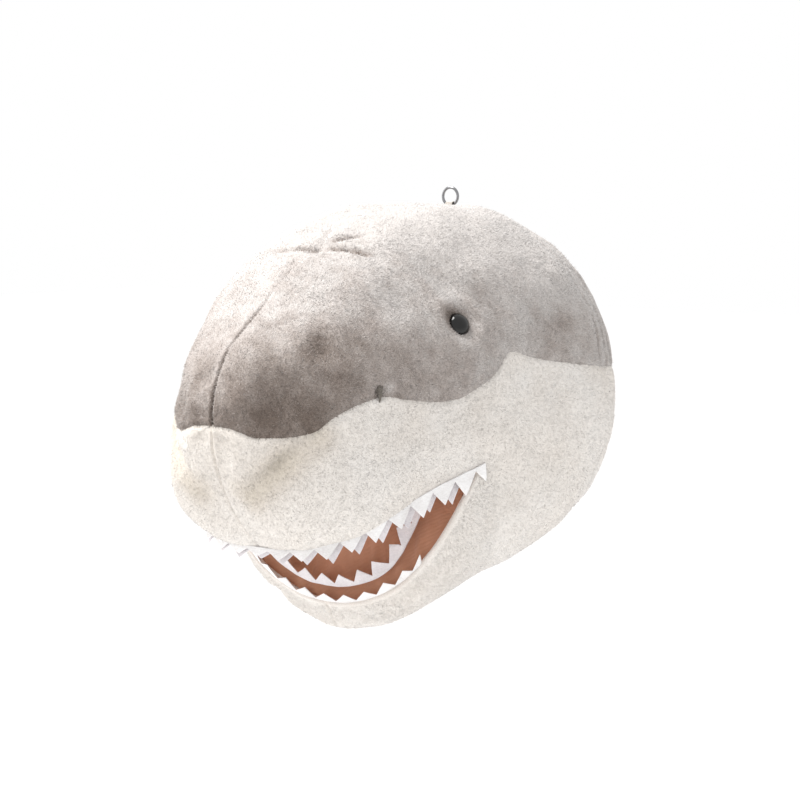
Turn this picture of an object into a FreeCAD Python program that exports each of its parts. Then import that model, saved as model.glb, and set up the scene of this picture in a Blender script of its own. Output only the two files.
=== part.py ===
import FreeCAD, Part
import Sketcher
import math
import os
from FreeCAD import Placement, Rotation, Vector

# Plush shark head for a wall. Millimetres. The origin is the centre of the back, on the wall: +Z is up,
# the head looks along -Y, the wall is the plane y = 0, and the left half of the head is the +X half.

doc = FreeCAD.newDocument("plush_shark_head")
sheet = doc.addObject("Spreadsheet::Sheet", "Dimensions")

SIZES = [
    ("head_depth", 238.0, "wall to tip of the nose"),
    ("skin_thickness", 3.0, "plush with its pile"),
    ("felt_thickness", 2.0, "felt facing and hem behind the board"),
    ("felt_radius", 96.0, "felt facing"),
    ("board_radius", 112.0, "backing board"),
    ("board_thickness", 6.0, "backing board"),
    ("lining_thickness", 1.5, "mouth lining"),
    ("crease_radius", 6.0, "free space round the mouth's rear crease"),
    ("jaw_gap", 0.5, "between jaw and throat, where the plush bends"),
    ("throat_angle", 18.0, "degrees from straight down to the plane behind the jaw"),
    ("tooth_thickness", 1.0, "felt of the teeth"),
    ("tooth_pitch", 15.0, "from one tooth to the next"),
    ("eye_radius", 7.0, "dome of the eye"),
    ("eye_height", 5.0, "dome of the eye above its flange"),
    ("eye_flange", 1.2, "edge of the eye below its dome"),
    ("shank_radius", 2.2, "stem of the eye"),
    ("shank_length", 12.0, "stem of the eye"),
    ("washer_radius", 8.0, "washer behind the skin"),
    ("washer_thickness", 1.5, "washer behind the skin"),
    ("ring_radius", 5.6, "middle line of the hanging ring"),
    ("wire_radius", 0.9, "wire of the hanging ring"),
    ("pivot_height", 115.5, "middle of the tape's loop above the origin"),
    ("pivot_depth", 2.7, "middle of the tape's loop in front of the wall"),
    ("loop_radius", 1.9, "inside of the tape's loop"),
    ("tape_thickness", 0.6, "one layer of tape"),
    ("tape_width", 5.0, "hanger tape"),
    ("tape_end_height", 78.0, "lower end of the tape above the origin"),
    ("staple_count", 16.0, "staples round the hem"),
    ("staple_circle", 104.0, "radius of the circle of staples"),
    ("staple_width", 9.0, "crown of a staple"),
    ("staple_wire", 0.7, "thickness of a staple's wire"),
    ("staple_depth", 5.5, "length of a staple's leg"),
    ("tape_staple_width", 8.2, "crown of a staple over the tape"),
    ("tape_staple_low", 84.0, "height of the lower staple on the tape"),
    ("tape_staple_high", 92.0, "height of the upper staple on the tape"),
    ("stitch_radius", 0.9, "bunched thread of a nostril stitch"),
    ("stitch_length", 9.0, "nostril stitch"),
]
for row, (alias, value, note) in enumerate(SIZES, start=1):
    sheet.set("A%d" % row, alias)
    sheet.set("B%d" % row, str(value))
    sheet.set("C%d" % row, note)
    sheet.setAlias("B%d" % row, alias)
doc.recompute()


def size(alias):
    return float(sheet.get(alias))


DEPTH = size("head_depth")
SKIN = size("skin_thickness")
FELT = size("felt_thickness")
BOARD_FRONT = FELT + size("board_thickness")
LINING = size("lining_thickness")
HALF_SPACE = 400.0      # side of the blocks that cut the head into its panels

# The head is a row of upright sections. u runs from 0 at the wall to 1 at the nose; each knot is (u, mm).
TOP = [(0, 113), (0.12, 116), (0.24, 112), (0.355, 103), (0.45, 88), (0.55, 70), (0.65, 54.5),
       (0.75, 41), (0.85, 24), (1, 0)]
BOTTOM = [(0, -112), (0.1, -118), (0.2, -127), (0.3, -136), (0.345, -134), (0.38, -119), (0.42, -108),
          (0.5, -94), (0.606, -77), (0.677, -63), (0.765, -46), (0.864, -27), (1, 0)]
HALF_WIDTH = [(0, 119), (0.08, 120), (0.2, 113), (0.35, 96), (0.5, 76), (0.65, 55), (0.8, 33), (0.9, 18),
              (1, 0)]
WIDEST = [(0, 8), (0.2, 0), (0.5, -18), (0.75, -22), (1, 0)]
UPPER_POWER = [(0, 2.0), (0.5, 2.1), (1, 2.0)]
LOWER_POWER = [(0, 2.0), (0.2, 1.8), (0.5, 2.2), (0.75, 2.4), (1, 2.0)]
STATIONS = [0.0, 0.05, 0.1, 0.15, 0.2, 0.24, 0.28, 0.31, 0.34, 0.37, 0.4, 0.44, 0.48, 0.53, 0.58, 0.64,
            0.7, 0.76, 0.82, 0.88, 0.93, 0.975]
SECTION_POINTS = 24

# Curves in the side view, each point (y, z).
CORNER = (-114.0, -28.0)
PALATE_LINE = [(-114, -28), (-143, -38.5), (-173, -56), (-197, -74), (-225, -98)]
FLOOR_LINE = [(-114, -28), (-121, -42), (-128, -62), (-133, -85), (-134, -105), (-132, -119), (-128, -150)]
COLOUR_SEAM = [(30, 20), (0, 19), (-32, 22), (-59, 26), (-79, 30), (-94, 34), (-104, 25), (-112, 19),
               (-122, 14), (-132, 10), (-144, 9), (-160, 11), (-173, 13.5), (-184, 11), (-199, 4),
               (-210, -4), (-222, -6), (-230, -6), (-238, -1), (-260, 0)]


def along(knots, x):
    """Height of the smooth curve through the knots at x, with no overshoot between them."""
    count = len(knots)
    steps = [knots[i + 1][0] - knots[i][0] for i in range(count - 1)]
    rises = [(knots[i + 1][1] - knots[i][1]) / steps[i] for i in range(count - 1)]
    slopes = [rises[0]]
    for i in range(1, count - 1):
        if rises[i - 1] * rises[i] <= 0:
            slopes.append(0.0)
        else:
            before = 2 * steps[i] + steps[i - 1]
            after = steps[i] + 2 * steps[i - 1]
            slopes.append((before + after) / (before / rises[i - 1] + after / rises[i]))
    slopes.append(rises[-1])
    i = 0
    while i < count - 2 and x > knots[i + 1][0]:
        i += 1
    t = (x - knots[i][0]) / steps[i]
    return ((1 + 2 * t) * (1 - t) ** 2 * knots[i][1]
            + t * (1 - t) ** 2 * steps[i] * slopes[i]
            + t * t * (3 - 2 * t) * knots[i + 1][1]
            + t * t * (t - 1) * steps[i] * slopes[i + 1])


def skin_point(u, angle, inset=0.0):
    """Point of the head's surface at station u; angle 90 is the top and -90 the bottom."""
    depth = DEPTH - inset
    middle = along(WIDEST, u)
    cosine = math.cos(math.radians(angle))
    sine = math.sin(math.radians(angle))
    upper = sine >= 0
    power = 2.0 / along(UPPER_POWER if upper else LOWER_POWER, u)
    half_width = max(along(HALF_WIDTH, u) - inset, 0.5)
    reach = along(TOP, u) - middle if upper else middle - along(BOTTOM, u)
    reach = max(reach - inset, 0.5)
    x = half_width * math.copysign(abs(cosine) ** power, cosine)
    z = middle + reach * math.copysign(abs(sine) ** power, sine)
    return Vector(x, -depth * math.sin(u * math.pi / 2), z)


def section_wire(u, inset):
    curve = Part.BSplineCurve()
    points = [skin_point(u, 360.0 * i / SECTION_POINTS, inset) for i in range(SECTION_POINTS)]
    curve.interpolate(Points=points, PeriodicFlag=True,
                      Parameters=[float(i) for i in range(SECTION_POINTS + 1)])
    return Part.Wire(curve.toShape())


def head_solid(inset, back):
    """The whole head inside its skin by inset, from the plane y = -back to the nose."""
    first = 2 / math.pi * math.asin(back / (DEPTH - inset))
    stations = [first] + [u for u in STATIONS if u > first + 0.02]
    return Part.makeLoft([section_wire(u, inset) for u in stations], True, False)


def side_curve(points, shift_y=0.0, shift_z=0.0):
    curve = Part.BSplineCurve()
    curve.interpolate([Vector(0, y + shift_y, z + shift_z) for y, z in points])
    return curve.toShape()


def side_prism(edges, closing):
    """Solid right through the head, whose outline in the side view is the edges, closed by straight lines."""
    start = edges[0].valueAt(edges[0].FirstParameter)
    end = edges[-1].valueAt(edges[-1].LastParameter)
    corners = [end] + [Vector(0, y, z) for y, z in closing] + [start]
    lines = []
    for a, b in zip(corners, corners[1:]):
        if a.distanceToPoint(b) > 1e-6:
            lines.append(Part.makeLine(a, b))
    face = Part.Face(Part.Wire(list(edges) + lines))
    face.translate(Vector(-HALF_SPACE / 2, 0, 0))
    return face.extrude(Vector(HALF_SPACE, 0, 0))


def block(low, high):
    return Part.makeBox(high[0] - low[0], high[1] - low[1], high[2] - low[2], Vector(*low))


def only_solid(shape):
    """The largest solid of a boolean's result, without slivers."""
    return max(shape.Solids, key=lambda solid: solid.Volume)


def add_feature(label, shape):
    """Sub-part whose shape is worked out above from the sheet's sizes."""
    feature = doc.addObject("Part::Feature", label)
    feature.Label = label
    feature.Shape = shape
    feature.Placement = Placement()
    return feature


def origin_plane(body, role):
    return next(item for item in body.Origin.OriginFeatures if item.Role == role)


def new_body(label, role):
    body = doc.addObject("PartDesign::Body", label)
    body.Label = label
    sketch = body.newObject("Sketcher::SketchObject", label + "_sketch")
    sketch.AttachmentSupport = [(origin_plane(body, role), "")]
    sketch.MapMode = "FlatFace"
    return body, sketch


def disc_body(label, radius, thickness, offset):
    """Disc parallel to the wall, its back face at y = -offset."""
    body, sketch = new_body(label, "XZ_Plane")
    sketch.addGeometry(Part.Circle(Vector(0, 0, 0), Vector(0, 0, 1), size(radius)), False)
    sketch.addConstraint(Sketcher.Constraint("Coincident", 0, 3, -1, 1))
    sketch.addConstraint(Sketcher.Constraint("Radius", 0, size(radius)))
    sketch.setExpression("Constraints[1]", "Dimensions." + radius)
    pad = body.newObject("PartDesign::Pad", label + "_pad")
    pad.Profile = sketch
    pad.setExpression("Length", "Dimensions." + thickness)
    body.Placement.Base = Vector(0, -offset, 0)
    return body


def cut_feature(label, base, tools):
    """Sub-part made of another object less the tools that it makes room for."""
    compound = doc.addObject("Part::Compound", label + "_tools")
    compound.Links = tools
    cut = doc.addObject("Part::Cut", label)
    cut.Label = label
    cut.Base = base
    cut.Tool = compound
    return cut


# --- outline solids -------------------------------------------------------------------------------------

outer = head_solid(0.0, 0.0)
inner = head_solid(SKIN, BOARD_FRONT)
board_room = Part.makeCylinder(size("board_radius"), size("board_thickness"), Vector(0, -FELT, 0),
                               Vector(0, -1, 0))
felt_room = Part.makeCylinder(size("felt_radius"), FELT, Vector(0, 0, 0), Vector(0, -1, 0))

palate_edge = side_curve(PALATE_LINE)
floor_edge = side_curve(FLOOR_LINE)

# The mouth is everything in front of the floor line and below the palate line.
below_palate = side_prism([palate_edge], [(-300, -98), (-300, -300), (-114, -300)])
ahead_of_floor = side_prism([floor_edge], [(-128, -300), (-300, -300), (-300, -28)])
mouth = below_palate.common(ahead_of_floor)

# The jaw is behind the floor line and ahead of a plane that runs down and back from the mouth's corner.
LOW = -170.0
slope = math.tan(math.radians(size("throat_angle")))
rear_foot = CORNER[0] + (CORNER[1] - LOW) * slope


def jaw_room(gap, crease):
    """Space of the jaw, enlarged by gap at its rear plane, outside a cylinder round the corner line."""
    rear_top = (CORNER[0] + gap, CORNER[1])
    rear_low = (rear_foot + gap, LOW)
    room = side_prism([floor_edge], [(-128, LOW), rear_low, rear_top])
    hub = Part.makeCylinder(crease, HALF_SPACE, Vector(-HALF_SPACE / 2, *CORNER), Vector(1, 0, 0))
    return room.cut(hub)


CREASE = size("crease_radius")
corner_line = Part.makeCylinder(CREASE, HALF_SPACE, Vector(-HALF_SPACE / 2, *CORNER), Vector(1, 0, 0))
jaw_space = jaw_room(0.0, CREASE + size("jaw_gap"))
head_keeps_off = side_prism([floor_edge], [(-128, LOW), (rear_foot + size("jaw_gap"), LOW),
                                           (CORNER[0] + size("jaw_gap"), CORNER[1])])
above_seam = side_prism([side_curve(COLOUR_SEAM)], [(-260, 300), (30, 300)])
left_half = block((0, -300, -300), (HALF_SPACE / 2, 50, 300))

shell = outer.cut(inner).cut(board_room).cut(felt_room)

# --- wall side: felt, board, tape, staples --------------------------------------------------------------

felt = disc_body("back_felt_blank", "felt_radius", "felt_thickness", 0.0)
board = disc_body("backing_board_blank", "board_radius", "board_thickness", FELT)


def staple(along_x, at):
    """Flat wire staple in the back of the board: crown, two legs; along_x turns it about Y."""
    wire = size("staple_wire")
    half = size("staple_width") / 2
    top = -0.2
    crown = block((-half, top - wire, -wire / 2), (half, top, wire / 2))
    leg_end = top - size("staple_depth")
    legs = [block((side - wire / 2, leg_end, -wire / 2), (side + wire / 2, top - wire, wire / 2))
            for side in (-half + wire / 2, half - wire / 2)]
    solid = crown.fuse(legs).removeSplitter()
    solid.rotate(Vector(0, 0, 0), Vector(0, 1, 0), along_x)
    solid.translate(at)
    return solid


count = int(size("staple_count"))
hem_shapes = []
for i in range(count):
    turn = 360.0 * (i + 0.5) / count
    circle = size("staple_circle")
    place = Vector(circle * math.sin(math.radians(turn)), 0, circle * math.cos(math.radians(turn)))
    hem_shapes.append(staple(turn, place))
hem_staples = add_feature("hem_staples", Part.makeCompound(hem_shapes))


def tape_shape():
    """Folded tape: two layers down the board's back and a loop round the ring's wire."""
    loop = size("loop_radius")
    thick = size("tape_thickness")
    width = size("tape_width")
    centre = Vector(-width / 2, -size("pivot_depth"), size("pivot_height"))
    ring = Part.makeCylinder(loop + thick, width, centre, Vector(1, 0, 0))
    hole = Part.makeCylinder(loop, width, centre, Vector(1, 0, 0))
    back = -size("pivot_depth") + loop + thick
    tail = block((-width / 2, back - 2 * thick, size("tape_end_height")),
                 (width / 2, back, size("pivot_height")))
    return ring.fuse(tail).cut(hole).removeSplitter()


tape_staple_shapes = []
for height in (size("tape_staple_low"), size("tape_staple_high")):
    wire = size("staple_wire")
    half = size("tape_staple_width") / 2
    crown_back = -0.15
    crown_front = crown_back - wire
    leg_end = crown_back - size("staple_depth")
    crown = block((-half, crown_front, height), (half, crown_back, height + wire))
    legs = [block((side - wire / 2, leg_end, height), (side + wire / 2, crown_front, height + wire))
            for side in (-half + wire / 2, half - wire / 2)]
    tape_staple_shapes.append(crown.fuse(legs).removeSplitter())
tape_staples = add_feature("tape_staples", Part.makeCompound(tape_staple_shapes))
hanger_tape = add_feature("hanger_tape", tape_shape().cut(Part.makeCompound(tape_staple_shapes)))

tape_half = size("tape_width") / 2 + 0.2
tape_slot = block((-tape_half, -FELT, size("tape_end_height") - 0.5), (tape_half, 0.0, 113.0))
ring_notch = block((-9.0, -5.8, size("board_radius") + 0.2), (9.0, 1.0, 140.0))
slot_feature = add_feature("tape_slot", tape_slot)
back_felt = cut_feature("back_felt", felt, [slot_feature, tape_staples])
backing_board = cut_feature("backing_board", board, [hem_staples, tape_staples])

ring = doc.addObject("Part::Torus", "hanging_ring")
ring.Label = "hanging_ring"
ring.setExpression("Radius1", "Dimensions.ring_radius")
ring.setExpression("Radius2", "Dimensions.wire_radius")
ring.Placement = Placement(Vector(0, -size("pivot_depth"), size("pivot_height") + size("ring_radius")),
                           Rotation(Vector(1, 0, 0), 90))

# --- eyes -----------------------------------------------------------------------------------------------

EYE_STATION = 2 / math.pi * math.asin(122.0 / DEPTH)
EYE_ANGLE = 30.5


def surface_frame(u, angle, side):
    """Point of the skin and outward normal, for the left (side 1) or right (side -1) half."""
    step_u = skin_point(u + 0.01, angle) - skin_point(u - 0.01, angle)
    step_a = skin_point(u, angle + 1) - skin_point(u, angle - 1)
    normal = step_a.cross(step_u)
    normal.normalize()
    point = skin_point(u, angle)
    if normal.dot(Vector(point.x, 0, point.z)) < 0:
        normal = normal * -1
    return Vector(side * point.x, point.y, point.z), Vector(side * normal.x, normal.y, normal.z)


def eye_body(label, side):
    """Domed eye with a flange at the skin and a stem through it, turned about its own axis."""
    body, sketch = new_body(label, "XZ_Plane")
    dome = size("eye_radius")
    high = size("eye_height")
    stem = size("shank_radius")
    stem_end = -size("shank_length")
    flange = size("eye_flange")
    ball = (dome ** 2 + high ** 2) / (2 * high)
    half_cap = math.asin(dome / ball) / 2
    bulge = Vector(ball * math.sin(half_cap), high - ball + ball * math.cos(half_cap), 0)
    sketch.addGeometry(Part.Arc(Vector(dome, 0, 0), bulge, Vector(0, high, 0)), False)
    outline = [(0, high), (0, stem_end), (stem, stem_end), (stem, -flange), (dome, -flange), (dome, 0)]
    for a, b in zip(outline, outline[1:]):
        sketch.addGeometry(Part.LineSegment(Vector(a[0], a[1], 0), Vector(b[0], b[1], 0)), False)
    turn = body.newObject("PartDesign::Revolution", label + "_turned")
    turn.Profile = sketch
    turn.ReferenceAxis = (sketch, ["V_Axis"])
    turn.Angle = 360
    point, normal = surface_frame(EYE_STATION, EYE_ANGLE, side)
    body.Placement = Placement(point, Rotation(Vector(0, 0, 1), normal))
    return body


def washer_body(label, side):
    body, sketch = new_body(label, "XY_Plane")
    for index, alias in enumerate(("washer_radius", "shank_radius")):
        sketch.addGeometry(Part.Circle(Vector(0, 0, 0), Vector(0, 0, 1), size(alias)), False)
        sketch.addConstraint(Sketcher.Constraint("Coincident", index, 3, -1, 1))
        sketch.addConstraint(Sketcher.Constraint("Radius", index, size(alias)))
        sketch.setExpression("Constraints[%d]" % (2 * index + 1), "Dimensions." + alias)
    pad = body.newObject("PartDesign::Pad", label + "_pad")
    pad.Profile = sketch
    pad.setExpression("Length", "Dimensions.washer_thickness")
    point, normal = surface_frame(EYE_STATION, EYE_ANGLE, side)
    behind = SKIN + 1.0 + size("washer_thickness")
    body.Placement = Placement(point - normal * behind, Rotation(Vector(0, 0, 1), normal))
    return body


SIDES = (("left", 1), ("right", -1))
eyes = {}
washers = {}
for word, side in SIDES:
    eyes[word] = eye_body("eye_" + word, side)
    washers[word] = washer_body("eye_washer_" + word, side)
doc.recompute()
eye_shapes = []
for word, side in SIDES:
    for piece in (eyes[word], washers[word]):
        eye_shapes.append(piece.Shape.copy())
eye_room = Part.makeCompound(eye_shapes)

# --- plush panels, lining and stuffing ------------------------------------------------------------------

staple_room = Part.makeCompound(hem_shapes + tape_staple_shapes)
head_shell = shell.cut(mouth).cut(head_keeps_off).cut(corner_line)
head_shell = head_shell.cut(tape_slot).cut(ring_notch).cut(staple_room).cut(eye_room)
for word, side in SIDES:
    half = head_shell.common(left_half) if side > 0 else head_shell.cut(left_half)
    add_feature("grey_skin_" + word, only_solid(half.common(above_seam)))
    add_feature("white_skin_" + word, only_solid(half.cut(above_seam)))
    jaw_half = shell.common(jaw_space)
    jaw_half = jaw_half.common(left_half) if side > 0 else jaw_half.cut(left_half)
    add_feature("jaw_skin_" + word, only_solid(jaw_half))

lining_rise = LINING / math.cos(math.radians(28))
palate_top = side_curve(PALATE_LINE, 0.0, lining_rise)
floor_back = side_curve(FLOOR_LINE, LINING, 0.0)
palate_room = side_prism([palate_top], [(-300, -98 + lining_rise), (-300, -300), (-114, -300)])
palate_room = palate_room.cut(below_palate).cut(corner_line)
palate_lining = only_solid(inner.common(palate_room))
add_feature("palate_lining", palate_lining)

floor_room = side_prism([floor_back], [(-128 + LINING, -300), (-300, -300), (-300, -28)])
floor_room = floor_room.cut(ahead_of_floor)
mouth_floor = only_solid(inner.common(jaw_space).common(floor_room))
add_feature("mouth_floor_lining", mouth_floor)
add_feature("jaw_stuffing", only_solid(inner.common(jaw_space).cut(floor_room)))
head_filling = inner.cut(mouth).cut(head_keeps_off).cut(corner_line).cut(palate_room).cut(eye_room)
add_feature("head_stuffing", only_solid(head_filling))

# --- teeth ----------------------------------------------------------------------------------------------


def half_width_at(y, z):
    """Half width of the head at height z, below its widest line, in the section at y."""
    u = 2 / math.pi * math.asin(min(-y / DEPTH, 1.0))
    middle = along(WIDEST, u)
    ratio = (middle - z) / (middle - along(BOTTOM, u))
    if ratio >= 1:
        return 0.0
    power = along(LOWER_POWER, u)
    return along(HALF_WIDTH, u) * (1 - max(ratio, 0.0) ** power) ** (1 / power)


def lip_half(edge, skip):
    """Points of a lip from the middle of the face to skip mm before the mouth's corner, on the left half."""
    steps = 600
    first, last = edge.FirstParameter, edge.LastParameter
    points = []
    for i in range(1, steps):
        spot = edge.valueAt(first + (last - first) * i / steps)
        x = half_width_at(spot.y, spot.z)
        if x == 0.0:
            break
        points.append(Vector(x, spot.y, spot.z))
    points.append(Vector(0, spot.y, spot.z))
    points.reverse()
    corner = points[-1]
    return [point for point in points if point.distanceToPoint(corner) > skip]


def spaced(points, pitch):
    """Points at even distances of about pitch along a line of points, from its first to its last."""
    lengths = [0.0]
    for a, b in zip(points, points[1:]):
        lengths.append(lengths[-1] + a.distanceToPoint(b))
    number = max(1, round(lengths[-1] / pitch))
    result = []
    index = 0
    for i in range(number + 1):
        wanted = lengths[-1] * i / number
        while index < len(lengths) - 2 and lengths[index + 1] < wanted:
            index += 1
        part = (wanted - lengths[index]) / (lengths[index + 1] - lengths[index])
        result.append(points[index] + (points[index + 1] - points[index]) * min(part, 1.0))
    return result


def mirrored(points):
    """A line on both halves, from the right end through the middle to the left end."""
    return [Vector(-point.x, point.y, point.z) for point in reversed(points[1:])] + points


def zigzag_strip(roots, hang, heights, band, facing, thickness):
    """Felt strip along the roots. Every second station is a tooth's tip, the others are the notches."""
    corners = []
    for i, root in enumerate(roots):
        drop = heights(root) if i % 2 else band
        low = root + hang(root) * drop
        normal = facing(root) * (thickness / 2)
        corners.append((root + normal, root - normal, low - normal, low + normal))
    faces = []

    def triangle(a, b, c):
        faces.append(Part.Face(Part.makePolygon([a, b, c, a])))

    for here, there in zip(corners, corners[1:]):
        for k in range(4):
            n = (k + 1) % 4
            triangle(here[k], here[n], there[n])
            triangle(here[k], there[n], there[k])
    for end in (corners[0], corners[-1]):
        triangle(end[0], end[1], end[2])
        triangle(end[0], end[2], end[3])
    solid = Part.makeSolid(Part.makeShell(faces))
    if solid.Volume < 0:
        solid.reverse()
    return solid


def moved_in(points, distance, lift):
    """Line on the left half moved towards the head's inside, level, and by lift along Z."""
    result = []
    for i, point in enumerate(points):
        before = points[max(i - 1, 0)]
        after = points[min(i + 1, len(points) - 1)]
        run = after - before
        inward = Vector(run.y, -run.x, 0)
        inward.normalize()
        if inward.dot(Vector(-point.x, 60.0, 0)) < 0:
            inward = inward * -1
        result.append(point + inward * distance + Vector(0, 0, lift))
    result[0].x = 0.0
    return result


def outward(point):
    normal = Vector(point.x, 0.55 * (point.y + 95.0), 0)
    normal.normalize()
    return normal


def straight_down(point):
    return Vector(0, 0, -1)


pitch = size("tooth_pitch")
felt_tooth = size("tooth_thickness")


def upper_height(front, rear):
    """Height of an upper tooth: front in the middle of the face, growing to rear along the cheek."""
    def height(root):
        along_cheek = min(abs(root.x) / 70.0, 1.0)
        return front + (rear - front) * along_cheek
    return height


lip = lip_half(palate_edge, 14.0)
outer_roots = mirrored(spaced(moved_in(lip, 0.9, -0.15), pitch / 2))
add_feature("upper_teeth_outer",
            zigzag_strip(outer_roots, straight_down, upper_height(6.5, 11.0), 1.5, outward, felt_tooth))
lip = lip_half(palate_edge, 20.0)
inner_roots = mirrored(spaced(moved_in(lip, 2.3, -0.15), pitch / 2))
add_feature("upper_teeth_inner",
            zigzag_strip(inner_roots, straight_down, upper_height(9.0, 14.0), 3.0, outward, felt_tooth))


def floor_depth(z):
    """Depth y of the floor line at height z."""
    knots = sorted((height, y) for y, height in FLOOR_LINE)
    return along(knots, z)


def floor_row(inset, proud, highest):
    """Line on the left half of the mouth floor, inset inside the lower lip and proud of the lining."""
    edge = lip_half(floor_edge, 8.0)
    points = []
    for i, point in enumerate(edge):
        before = edge[max(i - 1, 0)]
        after = edge[min(i + 1, len(edge) - 1)]
        run = Vector(after.x - before.x, 0, after.z - before.z)
        inward = Vector(-run.z, 0, run.x)
        inward.normalize()
        spot = point + inward * inset
        points.append(Vector(max(spot.x, 0.0), floor_depth(spot.z) - proud, spot.z))
    return [point for point in points if point.z < highest]


def up_and_forward(point):
    return Vector(0, -0.35, 0.94)


def along_floor(point):
    direction = Vector(-point.x / 75.0, -0.55, 1.0 if point.z < -80 else 0.6)
    direction.normalize()
    return direction


def to_the_front(point):
    return Vector(0, -1, 0)


lower_roots = mirrored(spaced(floor_row(1.6, 1.0, -86.0), pitch / 2))
add_feature("lower_teeth_outer",
            zigzag_strip(lower_roots, up_and_forward, lambda root: 7.0, 1.5, to_the_front, felt_tooth))
row_roots = mirrored(spaced(floor_row(13.0, 1.2, -42.0), pitch / 2))
add_feature("lower_teeth_inner",
            zigzag_strip(row_roots, along_floor, lambda root: 11.0, 4.0, to_the_front, felt_tooth))

# --- nostril stitches -----------------------------------------------------------------------------------

STITCH_STATION = 0.527
STITCH_ANGLE = 21.0
STITCH_CLEARANCE = 0.15
for word, side in SIDES:
    point, normal = surface_frame(STITCH_STATION, STITCH_ANGLE, side)
    upright = Vector(0, 0, 1) - normal * normal.z
    upright.normalize()
    lift = size("stitch_radius") + STITCH_CLEARANCE
    start = point + normal * lift - upright * (size("stitch_length") / 2)
    add_feature("nostril_stitch_" + word,
                Part.makeCylinder(size("stitch_radius"), size("stitch_length"), start, upright))

# --- checks and files -----------------------------------------------------------------------------------

NODES = ["back_felt", "backing_board", "hem_staples", "hanger_tape", "tape_staples", "grey_skin_left",
         "grey_skin_right", "white_skin_left", "white_skin_right", "head_stuffing", "palate_lining",
         "upper_teeth_outer", "upper_teeth_inner", "eye_left", "eye_right", "eye_washer_left",
         "eye_washer_right", "nostril_stitch_left", "nostril_stitch_right", "hanging_ring",
         "jaw_skin_left", "jaw_skin_right", "jaw_stuffing", "mouth_floor_lining", "lower_teeth_outer",
         "lower_teeth_inner"]

doc.recompute()
for item in doc.Objects:
    if "Invalid" in item.State or "Error" in item.State:
        raise RuntimeError("%s did not recompute: %s" % (item.Label, item.State))
os.makedirs("parts", exist_ok=True)
for label in NODES:
    shape = doc.getObjectsByLabel(label)[0].Shape
    if shape.isNull() or not shape.isValid() or not shape.Solids:
        raise RuntimeError(label + " has no valid solid")
    shape.exportStep("parts/" + label + ".step")
    box = shape.BoundBox
    print("%-22s %2d solids %9.0f mm3  x %6.1f %6.1f  y %6.1f %6.1f  z %6.1f %6.1f" % (
        label, len(shape.Solids), shape.Volume, box.XMin, box.XMax, box.YMin, box.YMax, box.ZMin, box.ZMax))
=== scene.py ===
import math
import bpy
import numpy as np
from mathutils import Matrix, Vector


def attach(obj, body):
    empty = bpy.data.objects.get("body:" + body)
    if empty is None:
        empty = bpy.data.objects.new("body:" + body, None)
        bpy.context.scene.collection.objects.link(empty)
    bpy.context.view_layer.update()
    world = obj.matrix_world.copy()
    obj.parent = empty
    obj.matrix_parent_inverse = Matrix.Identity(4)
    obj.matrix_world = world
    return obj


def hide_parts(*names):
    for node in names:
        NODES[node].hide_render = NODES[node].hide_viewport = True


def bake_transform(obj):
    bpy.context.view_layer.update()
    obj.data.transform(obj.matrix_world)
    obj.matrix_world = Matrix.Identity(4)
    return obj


# Plush shark head for a wall. Lengths below are in millimetres until a mesh is made, and the object is in
# the CAD frame: the wall is the plane y = 0, +Z is up, the nose points along -Y, the left half is +X.

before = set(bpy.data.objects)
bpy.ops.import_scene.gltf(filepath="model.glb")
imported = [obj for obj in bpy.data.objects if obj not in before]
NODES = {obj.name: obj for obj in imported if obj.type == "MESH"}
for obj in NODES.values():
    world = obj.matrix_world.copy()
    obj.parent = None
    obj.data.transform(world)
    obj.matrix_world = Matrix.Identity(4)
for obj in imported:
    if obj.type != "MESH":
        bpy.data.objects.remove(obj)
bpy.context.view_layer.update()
MM = 0.001

# --- shape of the head, as in the CAD model ---

DEPTH = 238.0
TOP = [(0, 113), (0.12, 116), (0.24, 112), (0.355, 103), (0.45, 88), (0.55, 70), (0.65, 54.5),
       (0.75, 41), (0.85, 24), (1, 0)]
BOTTOM = [(0, -112), (0.1, -118), (0.2, -127), (0.3, -136), (0.345, -134), (0.38, -119), (0.42, -108),
          (0.5, -94), (0.606, -77), (0.677, -63), (0.765, -46), (0.864, -27), (1, 0)]
HALF_WIDTH = [(0, 119), (0.08, 120), (0.2, 113), (0.35, 96), (0.5, 76), (0.65, 55), (0.8, 33), (0.9, 18),
              (1, 0)]
WIDEST = [(0, 8), (0.2, 0), (0.5, -18), (0.75, -22), (1, 0)]
UPPER_POWER = [(0, 2.0), (0.5, 2.1), (1, 2.0)]
LOWER_POWER = [(0, 2.0), (0.2, 1.8), (0.5, 2.2), (0.75, 2.4), (1, 2.0)]
PALATE_LINE = [(-225, -98), (-197, -74), (-173, -56), (-143, -38.5), (-114, -28)]
FLOOR_LINE = [(-150, -134), (-119, -134), (-105, -133), (-85, -131.5), (-62, -127.5), (-42, -121),
              (-28, -114)]
COLOUR_SEAM = [(-260, 0), (-238, -1), (-230, -6), (-222, -6), (-210, -4), (-199, 4), (-184, 11),
               (-173, 13.5), (-160, 11), (-144, 9), (-132, 10), (-122, 14), (-112, 19), (-104, 25),
               (-94, 34), (-79, 30), (-59, 26), (-32, 22), (0, 19), (30, 20)]
CORNER_Y, CORNER_Z = -114.0, -28.0      # the corner of the mouth
LIP_HEIGHT = -118.5         # lowest point of the mouth's floor, at the lower lip
THROAT_SLOPE = 0.478        # mm back for each mm down, behind the jaw


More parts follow.
